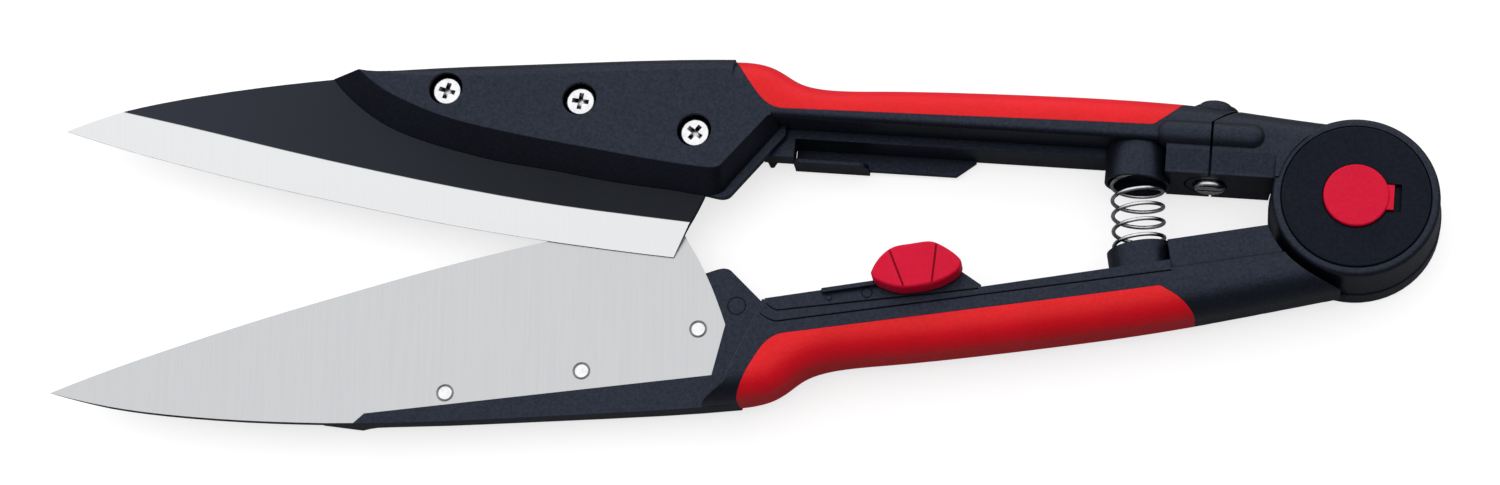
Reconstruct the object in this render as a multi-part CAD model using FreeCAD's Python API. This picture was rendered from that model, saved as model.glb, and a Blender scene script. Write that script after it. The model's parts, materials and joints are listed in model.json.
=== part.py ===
import FreeCAD, Part
import math
import os

# ---------------------------------------------------------------------------
# One-handed grass shears: two mirrored halves on one pivot.
#
# Every half is drawn in its own flat layout:  u runs from the pivot toward the
# blade tip, n runs outward from the line the two halves close on, z is height.
# z = 10.5 is the plane the two blades slide on.  The upper half uses the layout
# as drawn; the lower half is the same layout turned over about that plane.
# ---------------------------------------------------------------------------

V = FreeCAD.Vector

# driving dimensions, millimetres and degrees
HALF_OPEN = 6.37          # each half is swung this far out when the shears are open
Z_MID = 10.5              # blade contact plane
Z_TOP = 20.2              # outer face of a handle
Z_BOTTOM = 0.8            # inner face of a handle
BLADE_GAP = 0.10          # running gap, each side of the contact plane
BLADE_T = 2.0             # blade thickness
OUTER_ROUND = 7.0         # rounding of the outer side of handles and arms
HOLDER_ROUND = 5.0        # rounding of the outer side of the blade holder
WALL_N = 11.7             # inner wall of the handle on the screw side
WALL_ROUND = 1.6          # rounding of the top edge of that wall
FLANGE_N = 9.3            # inner wall of the handle on the blade-face side
ARM_N = 3.8               # inner wall of the rear arms

HUB_R_TOP = 20.4          # upper hub at its outer face
HUB_R_UPPER = 21.0        # upper hub at the split
HUB_R_LOWER = 21.3
HUB_ROUND = 1.3           # rounding of the hub rim
HUB_SPLIT_LOW = 6.4       # top of the lower hub
HUB_SPLIT_UP = 6.8        # underside of the upper hub
HUB_CLEAR_R = 22.6        # the lower arm stops this far from the pivot axis
COVER_R = 18.2
COVER_Z = 18.2            # seat of the round cover disc
COVER_T = 2.0

BUSH_R = 6.0
BOLT_R = 3.0
SLIDE_FIT = 0.05          # radial clearance of every turning fit

SPRING_U = 53.9           # return spring position along the handle
CUP_R = 8.2
CUP_BORE_R = 7.4
CUP_N = 2.6
CUP_DEPTH = 3.0

HINGE_U = 36.0            # tension hinge: axis position and height
HINGE_Z = 10.5
HINGE_R = 6.0
HINGE_GAP = 0.28          # half of the saw-cut between front piece and rear arm
HINGE_SEAM_N = 16.8       # where the two hinge knuckles meet

SCREWS = [(231.0, 13.6), (196.0, 13.0), (165.6, 6.5)]
SCREW_R = 2.0
SCREW_TURN = [12, 4, 34]  # how far each cross recess happens to be turned
SCREW_HEAD_R = 3.9
SCREW_SEAT_Z = 15.9
BORE_R = 4.4

TENSION_N = 13.8          # tension spring bore: place across the arm, height and radii
TENSION_Z = 18.4
TENSION_R = 2.8
BLISTER_R = 3.6

LATCH_SCREW = (102.8, 6.2)


# ---------------------------------------------------------------------------
# small drawing helpers
# ---------------------------------------------------------------------------
def at(u, n, z):
    return V(-u, n, z)


def outline(segments, z):
    """Closed wire from runs of (u, n) points; two points make a line, more make a smooth curve."""
    edges = []
    for run in segments:
        pts = [at(u, n, z) for u, n in run]
        if len(pts) == 2:
            edges.append(Part.makeLine(pts[0], pts[1]))
        else:
            curve = Part.BSplineCurve()
            curve.interpolate(pts)
            edges.append(curve.toShape())
    return Part.Wire(edges)


def slab(segments, z0, z1):
    return Part.Face(outline(segments, z0)).extrude(V(0, 0, z1 - z0))


def polygon(points):
    return [[points[i], points[(i + 1) % len(points)]] for i in range(len(points))]


def block(u0, u1, n0, n1, z0, z1):
    return Part.makeBox(u1 - u0, n1 - n0, z1 - z0, V(-u1, n0, z0))


def post(u, n, r, z0, z1):
    return Part.makeCylinder(r, z1 - z0, at(u, n, z0))


def rod(u, z, r, n0, n1):
    """Cylinder lying along n."""
    return Part.makeCylinder(r, n1 - n0, at(u, n0, z), V(0, 1, 0))


def bar(section, u0, u1):
    """Straight bar along u; the section is a polygon of (n, z) corners."""
    corners = [at(u0, n, z) for n, z in section + section[:1]]
    return Part.Face(Part.makePolygon(corners)).extrude(V(u0 - u1, 0, 0))


def ring(r_in, r_out, z0, z1):
    return Part.makeCylinder(r_out, z1 - z0, V(0, 0, z0)).cut(Part.makeCylinder(r_in, z1 - z0, V(0, 0, z0)))


def join(*shapes):
    body = shapes[0]
    for other in shapes[1:]:
        body = body.fuse(other)
    return body.removeSplitter()


def cut(body, *tools):
    for tool in tools:
        body = body.cut(tool)
    return body


def hexagon(across_flats, z0, z1):
    r = across_flats / math.sqrt(3)
    pts = [V(r * math.cos(math.radians(60 * i)), r * math.sin(math.radians(60 * i)), z0) for i in range(7)]
    return Part.Face(Part.makePolygon(pts)).extrude(V(0, 0, z1 - z0))


def fillet_where(shape, radius, test):
    edges = [e for e in shape.Edges if test(e)]
    return shape.makeFillet(radius, edges)


def place_upper(shape):
    s = shape.copy()
    s.rotate(V(0, 0, 0), V(0, 0, 1), -HALF_OPEN)
    return s


def place_lower(shape):
    s = shape.copy()
    s.rotate(V(0, 0, Z_MID), V(1, 0, 0), 180)
    s.rotate(V(0, 0, 0), V(0, 0, 1), HALF_OPEN)
    return s


def helix_spring(mid_r, wire_r, length, turns):
    """Coil along +z from height 0 to length, mid_r to the middle of the wire."""
    pitch = (length - 2 * wire_r) / turns
    path = Part.makeHelix(pitch, pitch * turns, mid_r)
    path.translate(V(0, 0, wire_r))
    start = path.Edges[0].valueAt(path.Edges[0].FirstParameter)
    tangent = path.Edges[0].tangentAt(path.Edges[0].FirstParameter)
    section = Part.Wire([Part.makeCircle(wire_r, start, tangent)])
    return Part.Wire(path.Edges).makePipeShell([section], True, True)


# ---------------------------------------------------------------------------
# outlines shared by both halves
# ---------------------------------------------------------------------------
SPINE = [(332.6, -1.4), (325.0, 1.7), (317.0, 4.6), (300.0, 9.4), (281.0, 13.6), (262.0, 17.0)]
EDGE = [(168.5, -24.6), (200.0, -22.6), (230.0, -19.6), (256.0, -16.0), (277.0, -12.8),
        (296.0, -9.4), (316.0, -5.4), (332.6, -1.4)]
GRIND_WIDTH = [9.2, 9.3, 9.4, 9.8, 10.0, 10.3, 10.3, 9.6, 8.6, 8.2]     # along n, from heel to past the tip
BLADE_PLAN = [SPINE,
              [(262.0, 17.0), (255.0, 18.0)],
              [(255.0, 18.0), (252.0, 15.9)],
              [(252.0, 15.9), (163.6, 18.9)],
              [(163.6, 18.9), (158.7, 6.3)],
              [(158.7, 6.3), (160.2, -0.7), (162.1, -7.6), (165.4, -16.2)],
              [(165.4, -16.2), (168.5, -24.6)],
              EDGE]

HOLDER_OUTER = [(262.8, 17.0), (255.0, 18.2), (234.0, 20.8), (218.0, 22.4), (195.0, 24.6), (172.0, 26.6),
                (157.5, 27.5)]
HANDLE_OUTER = [(166.5, 27.0), (157.5, 27.5), (152.0, 27.4), (148.0, 26.5), (144.5, 24.8), (141.0, 22.9),
                (137.0, 21.8), (131.0, 21.4), (120.0, 21.9), (100.0, 22.8), (80.0, 23.3), (62.0, 23.5),
                (44.0, 23.2)]
LOWER_ARM_OUTER = [(30.0, 22.6), (18.0, 22.0), (6.0, 21.4)]     # full, runs on past the hub
UPPER_ARM_OUTER = [(30.0, 22.2), (18.0, 21.1), (6.0, 20.2)]     # drawn in to meet the hub drum

SKIRT_CORNER = [(143.4, 9.3), (155.7, -7.6), (156.5, -8.15), (161.5, -7.95)]   # flange in front of the slope
SLOPE_FOOT = [(145.0, 10.9), (156.5, -5.2), (158.2, -7.3), (161.5, -8.2), (168.0, -7.7), (178.0, -6.9),
              (190.0, -5.8), (201.0, -4.3), (216.0, -2.7), (227.0, -0.7), (238.0, 1.9), (249.0, 6.1),
              (255.0, 9.9), (259.4, 13.4), (262.8, 17.0)]
SLOPE_TOP = [(146.6, 12.6), (157.4, -1.9), (158.9, -3.0), (161.5, -3.2), (168.0, -2.8), (178.5, -1.7),
             (189.5, -0.3), (202.0, 1.2), (216.0, 3.2), (226.0, 5.0), (234.0, 7.1), (243.0, 10.4),
             (248.0, 12.8), (251.0, 14.8), (254.5, 17.4)]

GRIP_EDGE = [[(159.0, 30.0), (157.5, 27.0)],
             [(157.5, 27.0), (154.6, 22.7), (151.3, 18.4), (148.6, 15.6), (146.4, 14.3), (143.5, 13.8)],
             [(143.5, 13.8), (127.0, 14.1), (100.0, 14.6), (76.0, 15.1), (51.2, 15.5)],
             [(51.2, 15.5), (50.2, 15.8), (49.4, 16.5)],
             [(49.4, 16.5), (45.4, 20.1), (42.8, 24.0), (41.4, 30.0)],
             [(41.4, 30.0), (159.0, 30.0)]]

GRIP_CORE = [[(151.0, 20.5), (148.5, 17.0), (146.0, 14.0), (143.5, 12.5)],
             [(143.5, 12.5), (52.5, 14.8)],
             [(52.5, 14.8), (49.5, 17.5)],
             [(49.5, 17.5), (62.0, 18.8), (100.0, 18.4), (131.0, 17.2), (141.0, 18.2), (151.0, 20.5)]]


# ---------------------------------------------------------------------------
# blades and their screws
# ---------------------------------------------------------------------------
def blade():
    """Blade blank with its ground bevel and three threaded holes, drawn screw side up."""
    z0, z1 = Z_MID + BLADE_GAP, Z_MID + BLADE_GAP + BLADE_T
    land = 0.25                                  # height left unground at the very edge
    over = 0.4                                   # the grinding tool runs this far past the top
    run = [(160.0, -24.9)] + [(u, n + 0.12) for u, n in EDGE] + [(340.0, 0.9)]
    rise = (z1 + over - z0 - land) / (z1 - z0 - land)
    top_run = [(u, n + w * rise) for (u, n), w in zip(run, GRIND_WIDTH)]
    far = [(348.0, -60.0), (155.0, -60.0)]
    tool = []
    for pts, z in ((run, z0 + land), (top_run, z1 + over)):
        tool.append(outline([pts, [pts[-1], far[0]], far, [far[1], pts[0]]], z))
    body = slab(BLADE_PLAN, z0, z1).cut(Part.makeLoft(tool, True, True))
    for u, n in SCREWS:
        hole = post(u, n, SCREW_R, z0, z1).fuse(Part.makeCone(SCREW_R + 0.3, SCREW_R, 0.3, at(u, n, z0)))
        body = body.cut(hole)
    return body


def blade_screw(u, n, turn):
    """Cross-recessed pan-head screw, head outward, tip flush with the inner face of the blade."""
    top = SCREW_SEAT_Z + 2.5
    head = post(u, n, SCREW_HEAD_R, SCREW_SEAT_Z, top)
    head = fillet_where(head, 0.7, lambda e: abs(e.BoundBox.ZMin - top) < 1e-6)
    tip = Z_MID + BLADE_GAP + 0.05
    point = Part.makeCone(SCREW_R - 0.35, SCREW_R, 0.3, at(u, n, tip))
    body = head.fuse(point).fuse(post(u, n, SCREW_R, tip + 0.3, SCREW_SEAT_Z)).removeSplitter()
    for angle in (turn, turn + 90):
        foot = outline(polygon(turned_box(u, n, 1.0, 0.45, angle)), top - 1.7)
        rim = outline(polygon(turned_box(u, n, 2.2, 0.58, angle)), top + 0.01)
        body = body.cut(Part.makeLoft([foot, rim], True, True))
    return body


def turned_box(u, n, half_u, half_n, angle):
    """Corners of a rectangle about (u, n), turned by angle."""
    c, s = math.cos(math.radians(angle)), math.sin(math.radians(angle))
    return [(u + a * c - b * s, n + a * s + b * c)
            for a, b in ((-half_u, -half_n), (half_u, -half_n), (half_u, half_n), (-half_u, half_n))]


def blade_screws():
    return Part.makeCompound([blade_screw(u, n, turn) for (u, n), turn in zip(SCREWS, SCREW_TURN)])


# ---------------------------------------------------------------------------
# handle moulding
# ---------------------------------------------------------------------------
def holder_section(z, foot):
    """Outline of the blade holder at height z: sloped on the inner side, rounded on the outer side."""
    z_seat = Z_MID + BLADE_GAP + BLADE_T
    t = max(0.0, (z - z_seat) / (Z_TOP - z_seat))
    inner = [(fu + (tu - fu) * t, fn + (tn - fn) * t) for (fu, fn), (tu, tn) in zip(foot, SLOPE_TOP)]
    over = max(0.0, z - (Z_TOP - HOLDER_ROUND))
    inset = HOLDER_ROUND - math.sqrt(HOLDER_ROUND ** 2 - min(over, HOLDER_ROUND) ** 2)
    outer = [inner[-1]]
    for u, n in HOLDER_OUTER[1:]:
        outer.append((u + (inner[-1][0] - foot[-1][0]) * (u - 157.5) / 105.3,
                      n - 0.8 * inset * min(1.0, 0.15 + (262.8 - u) / 40.0)))
    back = [(inner[0][0], outer[-1][1]), inner[0]]
    return outline([outer, [outer[-1], back[0]], back, inner[:2], inner[1:]], z)


def blade_holder():
    """Sloped shell over the root of the blade, with the blade seat and screw counterbores."""
    z_seat = Z_MID + BLADE_GAP + BLADE_T
    levels = [z_seat, 15.2, 17.4, 18.8, 19.7, Z_TOP]
    shell = Part.makeLoft([holder_section(z, SLOPE_FOOT) for z in levels], True, True)
    skirt_foot = SKIRT_CORNER + SLOPE_FOOT[len(SKIRT_CORNER):]
    skirt = Part.Face(holder_section(Z_MID + BLADE_GAP, skirt_foot)).extrude(V(0, 0, BLADE_T))
    skirt = skirt.cut(slab(BLADE_PLAN, Z_MID, z_seat))
    body = join(shell, skirt)
    corner = block(140.0, 157.5, 21.0, 40.0, -5.0, 30.0).cut(handle_block())
    body = cut(body, corner, grip_space())
    for u, n in SCREWS:
        body = body.cut(post(u, n, BORE_R, SCREW_SEAT_Z, Z_TOP + 1))
        body = body.cut(post(u, n, SCREW_R, Z_MID - 1, SCREW_SEAT_Z))
    return body


def handle_block(arm_outer=LOWER_ARM_OUTER):
    """Handle and arm in one piece from the ridge to the pivot, rounded on the outer side."""
    inner = [arm_outer[-1], (0.0, 15.0), (0.0, ARM_N), (47.0, ARM_N), (47.0, FLANGE_N), (144.6, FLANGE_N),
             (147.1, 4.5), (148.0, 4.3), (160.5, 24.0), (166.5, 27.0)]
    runs = [HANDLE_OUTER + arm_outer] + [[inner[i], inner[i + 1]] for i in range(len(inner) - 1)]
    body = slab(runs, Z_BOTTOM, Z_TOP)
    body = fillet_where(body, OUTER_ROUND, lambda e: e.Length > 120 and e.BoundBox.YMax > 27)
    body = fillet_where(body, 0.5, lambda e: e.BoundBox.ZMax < Z_BOTTOM + 0.01 and e.BoundBox.XMax < -147.9
                        and e.BoundBox.YMax < 24.1)
    rim = Z_TOP - WALL_ROUND
    rounded = Part.makeCylinder(WALL_ROUND, 99.6, at(146.6, WALL_N + WALL_ROUND, rim), V(1, 0, 0))
    corner = block(47.0, 146.6, WALL_N - 1.0, WALL_N + WALL_ROUND, rim, Z_TOP + 1).cut(rounded)
    face = Z_BOTTOM + 0.9
    return cut(body, corner,
               slab(polygon([(47.0, -1.0), (47.0, WALL_N), (147.3, WALL_N), (157.4, -1.9), (157.4, -9.0)]),
                    Z_MID, Z_TOP + 1),
               bar([(-1.0, Z_TOP - 1.5), (4.6, Z_TOP - 1.5), (9.6, Z_TOP), (9.6, Z_TOP + 1), (-1.0, Z_TOP + 1)],
                   20.0, 47.5),
               bar([(-1.0, -1.0), (12.3, -1.0), (11.4, Z_BOTTOM + 0.45), (10.9, face), (-1.0, face)],
                   10.0, 47.2),
               face_groove([(148.9, 7.6), (147.1, 9.4), (145.2, 10.4)], [(145.2, 10.4), (47.2, 11.9)]))


def face_groove(*runs):
    """Narrow groove in the blade-face side of a handle, along joined runs of points."""
    width, depth = 0.35, 0.45
    back = [[(u, n + width) for u, n in reversed(run)] for run in reversed(runs)]
    first, last = runs[0][0], runs[-1][-1]
    ends = [[last, (last[0], last[1] + width)], [(first[0], first[1] + width), first]]
    return slab([*runs, ends[0], *back, ends[1]], -1.0, Z_BOTTOM + depth)


def spring_cup(body):
    """Round cup for one end of the return spring."""
    body = join(body, rod(SPRING_U, Z_MID, CUP_R, CUP_N, WALL_N + 1.0))
    return body.cut(rod(SPRING_U, Z_MID, CUP_BORE_R, CUP_N - 1.0, CUP_N + CUP_DEPTH))


def grip_space():
    return slab(GRIP_EDGE, -5.0, 30.0)


def grip_core():
    return slab(GRIP_CORE, 5.5, 15.5)


def soft_grip():
    return handle_block().common(grip_space()).cut(grip_core())


def moulding(arm_outer):
    """Everything both halves share: holder, handle, arm and spring cup, without the soft grip."""
    body = join(handle_block(arm_outer).cut(grip_space()), grip_core(), blade_holder())
    return spring_cup(body)


# ---------------------------------------------------------------------------
# lower half
# ---------------------------------------------------------------------------
def latch_plate():
    """Thin plate the latch slides on, with its slot, a stop pin and a round mould mark."""
    plan = polygon([(147.3, 4.2), (98.6, 4.2), (93.8, 8.8), (93.8, FLANGE_N + 0.2), (146.2, FLANGE_N + 0.2)])
    plate = slab(plan, Z_BOTTOM, 3.6)
    plate = cut(plate, block(100.4, 115.2, 5.2, 7.2, 0.0, 5.0), round_mark(121.9, 6.6, 1.4, Z_BOTTOM))
    return join(plate, post(131.4, 6.6, 0.6, Z_BOTTOM - 0.35, 1.5))


def round_mark(u, n, r, z):
    """Cutter for a shallow ring in a face at height z that looks toward low z."""
    mark = ring(r - 0.2, r, z - 0.5, z + 0.15)
    mark.translate(at(u, n, 0))
    return mark


def lower_frame():
    hub_edge = 2 * Z_MID - HUB_SPLIT_LOW
    body = join(moulding(LOWER_ARM_OUTER), latch_plate())
    body = cut(body, Part.makeCylinder(HUB_CLEAR_R, hub_edge + 1.0, V(0, 0, -1.0)))
    hub = Part.makeCylinder(HUB_R_LOWER, HUB_SPLIT_LOW, V(0, 0, hub_edge))
    hub = fillet_where(hub, 0.8, lambda e: e.BoundBox.ZMin > 2 * Z_MID - 0.01)
    body = join(body, hub)
    body = cut(body, round_mark(155.3, 1.9, 2.35, Z_MID + BLADE_GAP),
               face_groove([(147.0, 5.4), (146.1, 6.5), (144.6, 7.6)], [(144.6, 7.6), (94.6, 9.5)]),
               Part.makeCylinder(BUSH_R, 2 * Z_MID, V(0, 0, -5.0)),
               hexagon(10.1, 2 * Z_MID - 5.0, 2 * Z_MID + 1),
               Part.makeCylinder(8.4, 2.0, V(0, 0, 2 * Z_MID - 0.8)))
    return body


def latch_slider():
    """Sliding bolt: bar and pad on the plate, neck through the slot, leg and hook in the gap."""
    bar = block(100.0, 132.5, 4.2, 5.3, -0.7, 0.75)
    nose = post(132.5, 4.75, 0.55, -0.7, 0.75)
    pad = block(101.0, 116.0, 0.6, 6.6, -1.4, 0.75)
    neck = block(100.6, 105.0, 5.3, 7.1, 0.7, 3.7)
    leg = block(104.0, 109.0, 0.6, 3.4, 0.7, 2 * Z_MID - 4.2)
    hook = block(104.0, 109.0, -7.6, 0.7, 2 * Z_MID - 8.4, 2 * Z_MID - 4.2)
    tongue = block(108.9, 114.5, -7.6, -5.6, 2 * Z_MID - 8.4, 2 * Z_MID - 4.2)
    body = join(bar, nose, pad, neck, leg, hook, tongue)
    return body.cut(post(*LATCH_SCREW, 0.6, 0.8, 4.0))


def latch_retainer():
    plate = block(98.6, 107.6, 4.2, 8.2, 3.7, 5.1)
    return plate.cut(post(*LATCH_SCREW, 0.6, 3.0, 6.0))


def latch_retainer_screw():
    head = fillet_where(post(*LATCH_SCREW, 1.6, 5.1, 6.3), 0.5, lambda e: e.BoundBox.ZMin > 6.29)
    return head.fuse(post(*LATCH_SCREW, 0.6, 0.9, 5.1))


def latch_button():
    """Red thumb button with two facet lines, sitting over the slider pad."""
    foot = [(120.1, 3.2), (118.2, 0.4), (115.8, -1.6), (113.6, -2.55), (112.0, -2.75), (109.0, -2.75),
            (105.6, -2.75), (104.2, -2.5), (102.4, -1.5), (100.1, 0.4), (98.3, 2.4), (97.7, 3.7), (98.1, 5.1),
            (99.4, 6.3), (102.2, 7.6), (105.8, 8.4), (109.6, 8.55), (112.4, 8.4), (115.0, 7.7), (117.6, 6.4),
            (119.3, 5.2)]
    plan = [foot + foot[:1]]
    body = slab(plan, -4.6, 0.55)
    facets = (((113.5, 3.0), 11, 167), ((104.5, 3.0), 14, 14))
    for pivot, tilt, turn in facets:
        ramp = Part.makeBox(30, 40, 8, V(0, -20, -8))
        ramp.rotate(V(0, 0, 0), V(0, 1, 0), tilt)
        ramp.rotate(V(0, 0, 0), V(0, 0, 1), turn)
        ramp.translate(at(pivot[0], pivot[1], -4.6))
        body = body.cut(ramp)
    body = fillet_where(body, 0.7, lambda e: e.BoundBox.ZMax < -1.0 and e.BoundBox.ZLength < 2.5
                        and abs(e.BoundBox.XLength) > 0.0 and not straight_inside(e))
    for pivot, tilt, turn in facets:
        line = Part.makeBox(0.45, 14, 1.0, V(0, -7, -0.65))
        line.rotate(V(0, 0, 0), V(0, 0, 1), turn)
        line.translate(at(pivot[0], pivot[1], -4.6))
        body = body.cut(line)
    return body.cut(latch_slider())


def straight_inside(edge):
    """True for the facet lines that cross the button's face."""
    return len(edge.Vertexes) == 2 and edge.Curve.TypeId == "Part::GeomLine"


def latch_leaf():
    strip = block(98.0, 124.0, 8.75, 9.2, 4.2, 8.0)
    return join(strip, post(111.2, 8.75, 0.45, 4.2, 8.0))


# ---------------------------------------------------------------------------
# pivot stack, drawn around the pivot axis
# ---------------------------------------------------------------------------
def pivot_bolt():
    head = hexagon(10.0, 17.4, 19.6)
    return cut(join(head, Part.makeCylinder(BOLT_R, 16.6, V(0, 0, 0.8))), hexagon(4.0, 18.4, 21.0))


def pivot_nut():
    """Nut held in the hexagon pocket of the lower hub, so it is turned with the lower half."""
    nut = hexagon(10.0, 0.8, 5.0).cut(Part.makeCylinder(BOLT_R, 10))
    nut.rotate(V(0, 0, 0), V(0, 0, 1), HALF_OPEN)
    return nut


def hub_cover():
    top = COVER_Z + COVER_T
    disc = Part.makeCylinder(COVER_R, COVER_T, V(0, 0, COVER_Z))
    disc = fillet_where(disc, 0.45, lambda e: e.BoundBox.ZMin > top - 0.1)
    return cut(disc, Part.makeCylinder(7.2, 5, V(0, 0, COVER_Z - 1)),
               Part.makeCylinder(8.15, 5, V(0, 0, top - 0.5)),
               block(-10.9, -7.0, -3.6, 3.6, top - 1.3, top + 1))


def pivot_cap():
    """Snap-in cap with a pry tab that lies in the slot of the cover."""
    top = COVER_Z + COVER_T
    dome = Part.makeCylinder(8.0, 1.4, V(0, 0, top - 0.5))
    dome = fillet_where(dome, 0.5, lambda e: e.BoundBox.ZMin > top + 0.8)
    tab = block(-9.15, -7.2, -3.2, 3.2, top - 0.45, top + 0.55)
    legs = ring(6.2, 7.1, COVER_Z + 0.3, top - 0.5).common(
        join(block(-9, 9, -2.2, 2.2, 10, 30), block(-2.2, 2.2, -9, 9, 10, 30)))
    return join(dome, tab, legs)


# ---------------------------------------------------------------------------
# upper half
# ---------------------------------------------------------------------------
def keeper():
    """Catch for the slider hook: floor, keeper bar with a rounded end and a front block."""
    floor = slab(polygon([(141.4, 4.8), (100.2, 4.8), (95.4, 8.8), (95.4, FLANGE_N + 0.2),
                          (141.4, FLANGE_N + 0.2)]), Z_BOTTOM, 2.0)
    bar = block(122.3, 141.4, 3.9, 5.0, Z_BOTTOM, 7.8)
    bar = fillet_where(bar, 2.6, lambda e: abs(e.BoundBox.XMin + 122.3) < 1e-6 and e.BoundBox.ZMin > 7.7)
    front = block(141.0, 149.0, 4.2, FLANGE_N + 0.2, 5.4, Z_MID)
    return join(floor, bar, front)


def tension_blister():
    """Half-sunk capsule over the tension spring."""
    ends = (26.2, 46.3)
    body = Part.makeCylinder(BLISTER_R, ends[1] - ends[0], at(ends[1], TENSION_N, TENSION_Z), V(1, 0, 0))
    for u in ends:
        body = body.fuse(Part.makeSphere(BLISTER_R, at(u, TENSION_N, TENSION_Z)))
    return body.removeSplitter()


def tension_bore():
    return Part.makeCylinder(TENSION_R, 22.0, at(47.0, TENSION_N, TENSION_Z), V(1, 0, 0))


def upper_hub():
    """Drum with a slight draft and a rounded rim, recessed for the cover disc."""
    rim = COVER_Z + COVER_T - 0.3
    drum = Part.makeCone(HUB_R_UPPER, HUB_R_TOP, rim - HUB_SPLIT_UP, V(0, 0, HUB_SPLIT_UP))
    return fillet_where(drum, HUB_ROUND, lambda e: e.BoundBox.ZMin > rim - 0.1)


def upper_solid():
    rim = COVER_Z + COVER_T - 0.3
    body = join(moulding(UPPER_ARM_OUTER), keeper())
    body = cut(body, Part.makeCylinder(HUB_R_LOWER + 0.5, HUB_SPLIT_UP + 1, V(0, 0, -1)),
               Part.makeCylinder(HUB_R_TOP - 1.0, 10, V(0, 0, rim)))
    body = join(body, tension_blister(), upper_hub())
    return cut(body, tension_bore(),
               Part.makeCylinder(COVER_R + 0.2, 10, V(0, 0, COVER_Z)),
               Part.makeCylinder(BUSH_R + SLIDE_FIT, 30),
               Part.makeCylinder(10.6, 10, V(0, 0, 14.9)))


def knuckle_tab(gap):
    """Corner of the front piece that reaches past the saw-cut on the outer side, over the hinge."""
    u0, u1 = HINGE_U - 6.4 - gap, HINGE_U + HINGE_GAP + gap
    return slab(polygon([(u1, HINGE_SEAM_N + 0.3 - gap), (u0, 22.4 - gap), (u0, 40.0), (u1, 40.0)]), -5.0, 40.0)


def upper_front(whole):
    """Blade-carrying front piece with the outer hinge knuckle."""
    seam = HINGE_SEAM_N + 0.3
    body = join(whole.common(block(HINGE_U + HINGE_GAP, 400, -60, 60, -5, 40)), whole.common(knuckle_tab(0.0)))
    body = body.cut(rod(HINGE_U, HINGE_Z, HINGE_R + 0.4, -5, seam))
    boss = fillet_where(rod(HINGE_U, HINGE_Z, 4.2, seam, 25.2), 1.2, lambda e: e.BoundBox.YMin > 25.1)
    collar = fillet_where(rod(HINGE_U, HINGE_Z, HINGE_R, seam, 23.7), 0.8, lambda e: e.BoundBox.YMin > 23.6)
    body = join(body, collar, boss)
    return cut(body, rod(HINGE_U, HINGE_Z, 2.0, HINGE_SEAM_N, 22.0), rod(HINGE_U, HINGE_Z, 3.2, 18.0, 23.0))


def upper_rear(whole):
    """Rear arm with the hub and the inner hinge knuckle."""
    body = whole.common(block(-60, HINGE_U - HINGE_GAP, -60, 60, -5, 40))
    body = cut(body, rod(HINGE_U, HINGE_Z, HINGE_R + 0.4, HINGE_SEAM_N, 40), knuckle_tab(2 * HINGE_GAP))
    body = join(body, rod(HINGE_U, HINGE_Z, HINGE_R, ARM_N, HINGE_SEAM_N))
    return cut(body, rod(HINGE_U, HINGE_Z, 2.0 + SLIDE_FIT, 0, 30), rod(HINGE_U, HINGE_Z, 4.4, 0, 4.2),
               tension_bore())


def hinge_screw():
    """Slotted pan-head screw, head on the inner wall of the arm."""
    head = fillet_where(rod(HINGE_U, HINGE_Z, 3.8, 2.2, 4.2), 1.1, lambda e: e.BoundBox.YMax < 2.21)
    body = head.fuse(rod(HINGE_U, HINGE_Z, 2.0, 4.2, 21.5))
    return body.cut(block(HINGE_U - 3.9, HINGE_U + 3.9, 2.0, 3.2, HINGE_Z - 0.5, HINGE_Z + 0.5))


def hinge_insert():
    return rod(HINGE_U, HINGE_Z, 3.2, 18.0, 22.0).cut(rod(HINGE_U, HINGE_Z, 2.0, 17.0, 23.0))


def tension_spring():
    coil = helix_spring(2.05, 0.35, 18.2, 11)
    coil.rotate(V(0, 0, 0), V(0, 1, 0), 90)
    coil.translate(at(43.6, TENSION_N, TENSION_Z))
    return coil


def tension_plunger():
    return Part.makeCylinder(TENSION_R - SLIDE_FIT, 3.0, at(47.0, TENSION_N, TENSION_Z), V(1, 0, 0))


def return_spring():
    """Open coil between the two cups, its ends resting on their floors."""
    length = 21.4
    coil = helix_spring(6.3, 0.5, length, 5)
    coil.rotate(V(0, 0, 0), V(0, 0, 1), -45)
    coil.rotate(V(0, 0, 0), V(1, 0, 0), -90)
    coil.translate(V(-53.3, -length / 2, Z_MID))
    return coil


# ---------------------------------------------------------------------------
# assembly
# ---------------------------------------------------------------------------
whole_upper = upper_solid()

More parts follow.
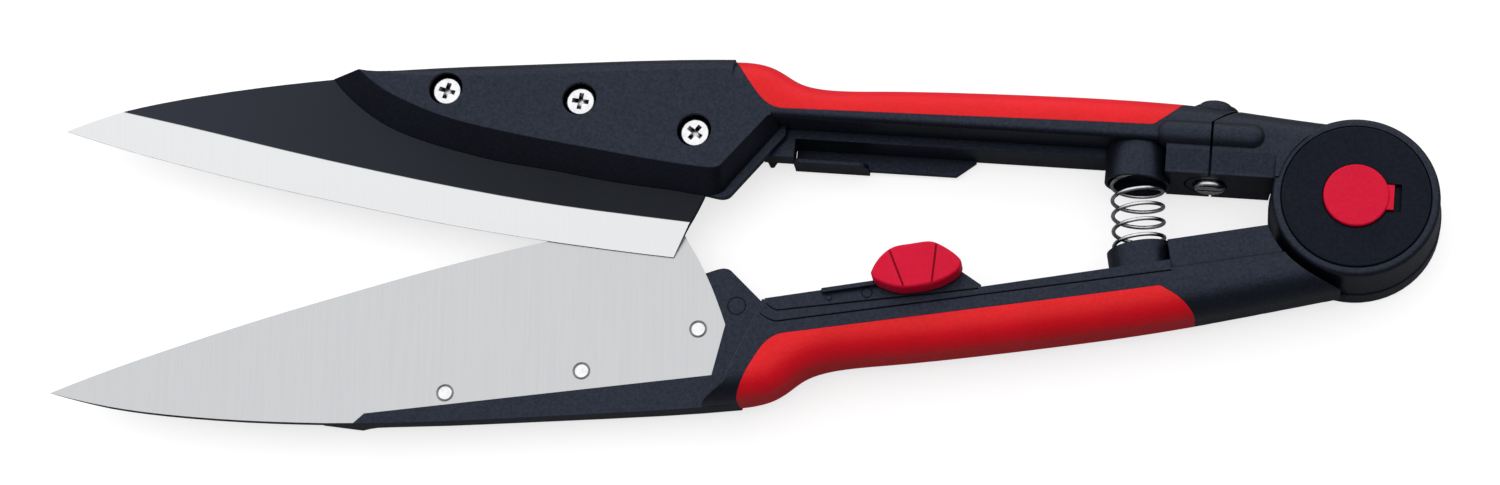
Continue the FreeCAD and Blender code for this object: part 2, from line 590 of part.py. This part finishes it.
parts = {
    "lower_handle_frame": place_lower(lower_frame()),
    "lower_grip": place_lower(soft_grip()),
    "lower_blade": place_lower(blade()),
    "lower_blade_screws": place_lower(blade_screws()),
    "latch_slider": place_lower(latch_slider()),
    "latch_button": place_lower(latch_button()),
    "latch_retainer": place_lower(latch_retainer()),
    "latch_retainer_screw": place_lower(latch_retainer_screw()),
    "latch_leaf_spring": place_lower(latch_leaf()),
    "pivot_bush": ring(BOLT_R, BUSH_R, 5.0, 15.0),
    "pivot_bolt": pivot_bolt(),
    "pivot_nut": pivot_nut(),
    "pivot_nut_cap": Part.makeCylinder(8.4, 0.8),
    "pivot_washer": ring(BOLT_R, 10.0, 15.0, 16.2),
    "pivot_spring_washer": ring(BOLT_R, 6.2, 16.2, 17.4),
    "thrust_washer": ring(7.0, 16.0, HUB_SPLIT_LOW + 0.05, HUB_SPLIT_UP - 0.05),
    "upper_rear_arm": place_upper(upper_rear(whole_upper)),
    "hub_cover": place_upper(hub_cover()),
    "pivot_cap": place_upper(pivot_cap()),
    "upper_handle_frame": place_upper(upper_front(whole_upper)),
    "upper_grip": place_upper(soft_grip()),
    "upper_blade": place_upper(blade()),
    "upper_blade_screws": place_upper(blade_screws()),
    "hinge_screw": place_upper(hinge_screw()),
    "hinge_insert": place_upper(hinge_insert()),
    "tension_spring": place_upper(tension_spring()),
    "tension_plunger": place_upper(tension_plunger()),
    "return_spring": return_spring(),
}

os.makedirs("parts", exist_ok=True)
for name, shape in parts.items():
    print(name, shape.isValid(), len(shape.Solids), round(shape.Volume, 1))
    shape.exportStep("parts/%s.step" % name)
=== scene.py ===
import json
import math

import bpy
from mathutils import Matrix, Vector


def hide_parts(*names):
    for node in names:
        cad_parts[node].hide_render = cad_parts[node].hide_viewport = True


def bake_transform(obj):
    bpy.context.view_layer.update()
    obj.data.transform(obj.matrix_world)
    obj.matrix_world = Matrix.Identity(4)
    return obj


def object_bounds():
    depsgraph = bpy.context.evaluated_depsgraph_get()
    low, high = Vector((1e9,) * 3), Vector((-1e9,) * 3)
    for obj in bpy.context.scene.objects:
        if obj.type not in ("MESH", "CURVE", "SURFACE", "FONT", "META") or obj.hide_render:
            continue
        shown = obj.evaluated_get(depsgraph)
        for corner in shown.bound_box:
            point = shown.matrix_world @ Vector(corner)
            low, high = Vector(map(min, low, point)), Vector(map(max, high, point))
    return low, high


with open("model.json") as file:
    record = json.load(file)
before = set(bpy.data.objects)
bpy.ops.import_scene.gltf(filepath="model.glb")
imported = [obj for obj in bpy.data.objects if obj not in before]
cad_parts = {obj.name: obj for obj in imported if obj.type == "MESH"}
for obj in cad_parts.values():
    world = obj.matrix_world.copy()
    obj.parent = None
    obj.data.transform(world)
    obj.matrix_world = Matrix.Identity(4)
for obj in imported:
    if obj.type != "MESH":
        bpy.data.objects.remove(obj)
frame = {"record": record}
cad_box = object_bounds()

HALF_OPEN = math.radians(6.37)      # swing of each half from the line the blades close on
BLADE_MID = 0.0105                  # height of the plane the blades slide on
LIGHT_FROM = (-0.10, 0.59, 0.80)    # middle of the bright part of the studio
COAT_TINT = (0.74, 0.83, 1.0)       # cast of the dark coating's shine
BLADE_OUTER = 0.0021                # from the sliding plane to a blade's outer face
COAT_DEPTH = 0.00004                # the coating shows this close to the outer face
NAVY = (0.58, 0.70, 1.0)            # cast of the black plastic's shine
WHITE = (1.0, 1.0, 1.0)
SPRING_X = -0.0533                  # line the return spring stands on


# ------------------------------------------------------------------ node helpers
class Graph:
    """A material's node tree with short calls for the nodes this scene uses."""

    def __init__(self, name):
        self.mat = bpy.data.materials.new(name)
        self.mat.use_nodes = True
        self.nt = self.mat.node_tree
        self.nt.nodes.clear()
        self.out = self.nt.nodes.new("ShaderNodeOutputMaterial")
        self.bsdf = self.nt.nodes.new("ShaderNodeBsdfPrincipled")
        self.nt.links.new(self.bsdf.outputs[0], self.out.inputs[0])
        self.coord = self.nt.nodes.new("ShaderNodeTexCoord").outputs["Object"]
        self.normal = self.nt.nodes.new("ShaderNodeTexCoord").outputs["Normal"]

    def link(self, a, b):
        self.nt.links.new(a, b)

    def feed(self, socket, value):
        """Link a node output to the socket, or set a plain number or colour on it."""
        if hasattr(value, "is_linked"):
            self.link(value, socket)
        else:
            socket.default_value = value

    def set(self, **values):
        for key, value in values.items():
            self.feed(self.bsdf.inputs[key.replace("_", " ")], value)

    def math(self, op, a, b=0.0):
        n = self.nt.nodes.new("ShaderNodeMath")
        n.operation = op
        self.feed(n.inputs[0], a)
        self.feed(n.inputs[1], b)
        return n.outputs[0]

    def split(self, vector):
        n = self.nt.nodes.new("ShaderNodeSeparateXYZ")
        self.link(vector, n.inputs[0])
        return n.outputs

    def mapping(self, scale=(1, 1, 1), turn=0.0, vector=None):
        n = self.nt.nodes.new("ShaderNodeMapping")
        n.inputs["Scale"].default_value = scale
        n.inputs["Rotation"].default_value = (0, 0, turn)
        self.link(vector or self.coord, n.inputs["Vector"])
        return n.outputs[0]

    def noise(self, scale, detail=2.0, rough=0.5, vector=None):
        n = self.nt.nodes.new("ShaderNodeTexNoise")
        n.inputs["Scale"].default_value = scale
        n.inputs["Detail"].default_value = detail
        n.inputs["Roughness"].default_value = rough
        self.link(vector or self.coord, n.inputs["Vector"])
        return n.outputs["Fac"]

    def ramp(self, fac, stops):
        n = self.nt.nodes.new("ShaderNodeValToRGB")
        while len(n.color_ramp.elements) < len(stops):
            n.color_ramp.elements.new(0.5)
        for e, (pos, col) in zip(n.color_ramp.elements, stops):
            e.position = pos
            e.color = (*col, 1)
        self.link(fac, n.inputs[0])
        return n.outputs[0]

    def range(self, fac, lo, hi, out_lo=0.0, out_hi=1.0):
        n = self.nt.nodes.new("ShaderNodeMapRange")
        self.link(fac, n.inputs["Value"])
        for key, v in (("From Min", lo), ("From Max", hi), ("To Min", out_lo), ("To Max", out_hi)):
            n.inputs[key].default_value = v
        return n.outputs[0]

    def mix(self, fac, a, b):
        n = self.nt.nodes.new("ShaderNodeMix")
        n.data_type = "RGBA"
        self.link(fac, n.inputs["Factor"])
        for socket, v in ((n.inputs[6], a), (n.inputs[7], b)):
            self.feed(socket, v if hasattr(v, "is_linked") else (*v, 1))
        return n.outputs[2]

    def lerp(self, fac, a, b):
        n = self.nt.nodes.new("ShaderNodeMix")
        self.link(fac, n.inputs["Factor"])
        self.feed(n.inputs[2], a)
        self.feed(n.inputs[3], b)
        return n.outputs[0]

    def rounded(self, radius):
        """Normal of the surface with its sharp edges eased by a small radius."""
        n = self.nt.nodes.new("ShaderNodeBevel")
        n.samples = 4
        n.inputs["Radius"].default_value = radius
        return n.outputs[0]

    def ao_for_painted_shade(self, distance, lo=0.35, hi=0.9):
        """Ambient occlusion mask for painted shade: 1 on open surface, falling to 0 in grooves and
        corners narrower than distance.
        """
        n = self.nt.nodes.new("ShaderNodeAmbientOcclusion")
        n.samples = 8
        n.inputs["Distance"].default_value = distance
        return self.range(n.outputs["AO"], lo, hi)

    def bump(self, height, distance, strength=1.0, under=None):
        n = self.nt.nodes.new("ShaderNodeBump")
        n.inputs["Distance"].default_value = distance
        n.inputs["Strength"].default_value = strength
        self.link(height, n.inputs["Height"])
        if under is not None:
            self.link(under, n.inputs["Normal"])
        return n.outputs[0]


# ------------------------------------------------------------------ materials
def moulded(name, low, high, rough, grain_size, grain_depth, edge, tint=WHITE, level=0.5):
    """Moulded plastic or rubber: fine pebble grain, faint clouding, edges eased by a small radius.

    Grooves and inner corners get painted shade: a quarter of the colour and less than a third of the
    shine.
    """
    g = Graph(name)
    grain = g.noise(1.0 / grain_size, 2, 0.6)
    cloud = g.noise(45, 3, 0.6)
    soft = g.rounded(edge)
    # painted shade: ambient occlusion darkens colour and shine in grooves and inner corners
    clear_of_painted_shade = g.ao_for_painted_shade(0.0011)
    colour = g.ramp(cloud, [(0.3, low), (0.7, high)])
    painted_shade_colour = tuple(c * 0.25 for c in low)
    pebble = g.range(g.noise(1.0 / (grain_size * 1.7), 2, 0.7), 0.34, 0.66)
    sheen = g.mix(pebble, tuple(c * 0.62 for c in tint), tint)
    g.set(Base_Color=g.mix(clear_of_painted_shade, painted_shade_colour, colour),
          Roughness=g.range(grain, 0.3, 0.7, rough - 0.05, rough + 0.07),
          Specular_IOR_Level=level,
          Specular_Tint=g.mix(clear_of_painted_shade, tuple(c * 0.3 for c in tint), sheen),
          Normal=g.bump(grain, grain_depth, 1.0, under=soft))
    return g.mat


def blade_steel(name, side, low, high):
    """Brushed steel with a dark coating on the outer face and the sides; the coating has a painted
    highlight, paler toward the tip.

    side is +1 where the outer face is up (upper blade) and -1 where it is down (lower blade).
    """
    g = Graph(name)
    coat_from = BLADE_MID + side * BLADE_OUTER - side * COAT_DEPTH
    height = g.math("MULTIPLY", g.math("SUBTRACT", g.split(g.coord)[2], coat_from), side)
    on_face = g.range(height, -0.00002, 0.00002)
    upright = g.math("ABSOLUTE", g.split(g.normal)[2])
    on_side = g.range(upright, 0.35, 0.25)
    coat = g.math("MAXIMUM", on_face, on_side)
    across = g.mapping((1500, 30, 30), turn=side * HALF_OPEN)
    scratch = g.noise(1.0, 4, 0.7, vector=across)
    cloud = g.noise(25, 3, 0.5)
    speck = g.noise(1800, 2, 0.6)
    steel = g.mix(scratch, low, high)
    dark = g.ramp(cloud, [(0.3, (0.0025, 0.0028, 0.0040)), (0.7, (0.0050, 0.0054, 0.0070))])
    # painted highlight: the dark coating's colour turns paler toward the tip
    painted_tip_highlight = g.range(g.split(g.coord)[0], -0.20, -0.32)
    dark = g.mix(painted_tip_highlight, dark, (0.024, 0.027, 0.038))
    g.set(Base_Color=g.mix(coat, steel, dark),
          Metallic=g.math("SUBTRACT", 1.0, coat),
          Specular_IOR_Level=0.20,
          Specular_Tint=g.mix(coat, WHITE, COAT_TINT),
          Roughness=g.lerp(coat, g.range(scratch, 0.3, 0.7, 0.26, 0.40),
                           g.range(speck, 0.3, 0.7, 0.36, 0.46)),
          Normal=g.bump(scratch, 0.000010, 0.35))
    return g.mat


def bright_metal(name, low, high, rough, scale=900):
    """Turned or drawn metal, with painted shade inside recesses (colour cut to a twentieth)."""
    g = Graph(name)
    grain = g.noise(scale, 3, 0.6)
    shine = g.ramp(grain, [(0.3, low), (0.7, high)])
    # painted shade: ambient occlusion darkens the metal's colour inside recesses
    clear_of_painted_shade = g.ao_for_painted_shade(0.0012, 0.45, 0.85)
    g.set(Base_Color=g.mix(clear_of_painted_shade, tuple(c * 0.05 for c in low), shine), Metallic=1.0,
          Roughness=g.range(grain, 0.3, 0.7, rough * 0.8, rough * 1.3),
          Normal=g.bump(grain, 0.00001, 0.3, under=g.rounded(0.00012)))
    return g.mat


SLOT_MATERIALS = {
    "black_nylon": moulded("black_nylon", (0.0042, 0.0046, 0.0078), (0.0060, 0.0066, 0.0115), 0.38,
                           0.00045, 0.000075, 0.00035, NAVY, 0.50),
    "red_grip": moulded("red_grip", (0.72, 0.0025, 0.014), (0.82, 0.0035, 0.020), 0.42,
                        0.00045, 0.000022, 0.00030, (1, 0.66, 0.40), 0.42),
    "red_plastic": moulded("red_plastic", (0.64, 0.0015, 0.030), (0.71, 0.0022, 0.036), 0.34,
                           0.00045, 0.000012, 0.00030, (1, 0.70, 0.75), 0.22),
    "screw_steel": bright_metal("screw_steel", (0.62, 0.62, 0.64), (0.80, 0.80, 0.82), 0.22),
    "spring_steel": bright_metal("spring_steel", (0.55, 0.55, 0.58), (0.74, 0.74, 0.77), 0.20),
    "pivot_steel": bright_metal("pivot_steel", (0.42, 0.42, 0.44), (0.56, 0.56, 0.58), 0.32),
    "insert_brass": bright_metal("insert_brass", (0.66, 0.46, 0.18), (0.80, 0.60, 0.28), 0.25),
    "washer_nylon": moulded("washer_nylon", (0.55, 0.54, 0.50), (0.62, 0.61, 0.57), 0.50,
                            0.00060, 0.000010, 0.00020),
}
BLADES = {
    "upper_blade": blade_steel("upper_blade_steel", 1, (0.58, 0.59, 0.60), (0.72, 0.73, 0.74)),
    "lower_blade": blade_steel("lower_blade_steel", -1, (0.42, 0.43, 0.445), (0.54, 0.55, 0.56)),
}
OWN = {
    "tension_spring": bright_metal("oiled_wire", (0.02, 0.02, 0.022), (0.05, 0.05, 0.055), 0.40),
    "hub_cover": moulded("cover_nylon", (0.0030, 0.0036, 0.0065), (0.0048, 0.0056, 0.0095), 0.40,
                         0.00045, 0.000050, 0.00030, NAVY, 0.17),
}

for part in frame["record"]["subparts"]:
    name = part["node"]
    node = bpy.data.objects[name]
    mat = BLADES.get(name) or OWN.get(name) or SLOT_MATERIALS[part["material_slot"]]
    if not node.material_slots:
        node.data.materials.append(mat)
    for slot in node.material_slots:
        slot.material = mat


# ------------------------------------------------------------------ return spring
def tube(name, path, radius, sides=14):
    """Round wire along a list of points, with flat ends."""
    verts, faces = [], []
    side_axis = None
    for i, point in enumerate(path):
        tangent = (path[min(i + 1, len(path) - 1)] - path[max(i - 1, 0)]).normalized()
        if side_axis is None:
            side_axis = tangent.orthogonal().normalized()
        side_axis = (side_axis - tangent * side_axis.dot(tangent)).normalized()
        other = tangent.cross(side_axis)
        for k in range(sides):
            a = 2 * math.pi * k / sides
            verts.append(point + (side_axis * math.cos(a) + other * math.sin(a)) * radius)
    for i in range(len(path) - 1):
        for k in range(sides):
            a, b = i * sides + k, i * sides + (k + 1) % sides
            faces.append((a, b, b + sides, a + sides))
    faces.append(tuple(reversed(range(sides))))
    faces.append(tuple((len(path) - 1) * sides + k for k in range(sides)))
    mesh = bpy.data.meshes.new(name)
    mesh.from_pydata(verts, [], faces)
    mesh.shade_smooth()
    obj = bpy.data.objects.new(name, mesh)
    bpy.context.scene.collection.objects.link(obj)
    return obj


def return_spring():
    """The coil between the two cups, drawn as a fixed helix in place of the return_spring part."""
    middle, wire, turns, steps = 0.0063, 0.0005, 5, 48
    length, start = 0.0214, math.radians(-45)
    rise = (length - 2 * wire) / (turns * steps)
    path = []
    for i in range(turns * steps + 1):
        a = start + 2 * math.pi * i / steps
        path.append(Vector((SPRING_X + middle * math.cos(a), wire + rise * i - length / 2,
                            BLADE_MID - middle * math.sin(a))))
    coil = tube("spring_coil", path, wire)
    coil.data.materials.append(SLOT_MATERIALS["spring_steel"])
    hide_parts("return_spring")
    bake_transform(coil)


return_spring()


# ------------------------------------------------------------------ floor, light and camera
def floor():
    """Pale floor, evenly white when seen directly and clear when seen from below."""
    low = cad_box[0].z - 0.0002
    half = 6.0
    corners = [(-half, -half, low), (half, -half, low), (half, half, low), (-half, half, low)]
    mesh = bpy.data.meshes.new("floor")
    mesh.from_pydata(corners, [], [(0, 1, 2, 3)])
    obj = bpy.data.objects.new("floor", mesh)
    bpy.context.scene.collection.objects.link(obj)
    g = Graph("floor_white")
    direct = g.nt.nodes.new("ShaderNodeLightPath").outputs["Is Camera Ray"]
    white = g.ramp(g.noise(3, 2, 0.5), [(0.3, (0.45, 0.45, 0.45)), (0.7, (0.47, 0.47, 0.47))])
    g.set(Base_Color=g.mix(direct, (0.22, 0.225, 0.24), white),
          Roughness=0.9, Specular_IOR_Level=0.1, Emission_Color=(1, 1, 1, 1),
          Emission_Strength=g.math("MULTIPLY", direct, 0.70))
    clear = g.nt.nodes.new("ShaderNodeBsdfTransparent")
    seen_from_below = g.nt.nodes.new("ShaderNodeMixShader")
    g.link(g.nt.nodes.new("ShaderNodeNewGeometry").outputs["Backfacing"], seen_from_below.inputs[0])
    g.link(g.bsdf.outputs[0], seen_from_below.inputs[1])
    g.link(clear.outputs[0], seen_from_below.inputs[2])
    g.link(seen_from_below.outputs[0], g.out.inputs[0])
    mesh.materials.append(g.mat)


def studio(bright, dim):
    """Soft light from above and behind the shears, dim on the near side, white when seen directly."""
    w = bpy.data.worlds.new("studio")
    bpy.context.scene.world = w
    w.use_nodes = True
    nt = w.node_tree
    nt.nodes.clear()

    def node(kind, **inputs):
        n = nt.nodes.new(kind)
        for key, v in inputs.items():
            socket = n.inputs[key.replace("_", " ")]
            if hasattr(v, "is_linked"):
                nt.links.new(v, socket)
            else:
                socket.default_value = v
        return n

    facing = nt.nodes.new("ShaderNodeVectorMath")
    facing.operation = "DOT_PRODUCT"
    nt.links.new(nt.nodes.new("ShaderNodeTexCoord").outputs["Generated"], facing.inputs[0])
    facing.inputs[1].default_value = LIGHT_FROM
    fade = node("ShaderNodeMapRange", Value=facing.outputs["Value"], From_Min=0.0, From_Max=0.78,
                To_Min=dim, To_Max=bright)
    fade.interpolation_type = "SMOOTHSTEP"
    direct = nt.nodes.new("ShaderNodeLightPath").outputs["Is Camera Ray"]
    strength = nt.nodes.new("ShaderNodeMix")
    nt.links.new(direct, strength.inputs["Factor"])
    nt.links.new(fade.outputs[0], strength.inputs[2])
    strength.inputs[3].default_value = 1.0
    sky = node("ShaderNodeBackground", Color=(1, 1, 1, 1), Strength=strength.outputs[0])
    out = nt.nodes.new("ShaderNodeOutputWorld")
    nt.links.new(sky.outputs[0], out.inputs[0])


def camera():
    """Close camera, high over the lower half, rolled so that the shears lie level in the frame."""
    azimuth, elevation, roll = math.radians(20.39), math.radians(70.0), math.radians(-21.54)
    distance, lens = 0.900, 86.4
    shift_right, shift_up = -0.1509, -0.0050
    flat = Vector((math.cos(azimuth), math.sin(azimuth), 0))
    rise = Vector((-math.sin(azimuth) * math.sin(elevation),
                   math.cos(azimuth) * math.sin(elevation), math.cos(elevation)))
    back = flat.cross(rise)
    right = flat * math.cos(roll) + rise * math.sin(roll)
    up = rise * math.cos(roll) - flat * math.sin(roll)
    data = bpy.data.cameras.new("camera")
    data.lens, data.sensor_width = lens, 36.0
    data.clip_start, data.clip_end = 0.01, 50.0
    obj = bpy.data.objects.new("camera", data)
    obj.matrix_world = Matrix((right, up, back)).transposed().to_4x4()
    obj.location = right * shift_right + up * shift_up + back * distance
    bpy.context.scene.collection.objects.link(obj)
    bpy.context.scene.camera = obj


floor()
studio(1.33, 0.16)
camera()
bpy.context.scene.view_settings.view_transform = "Standard"
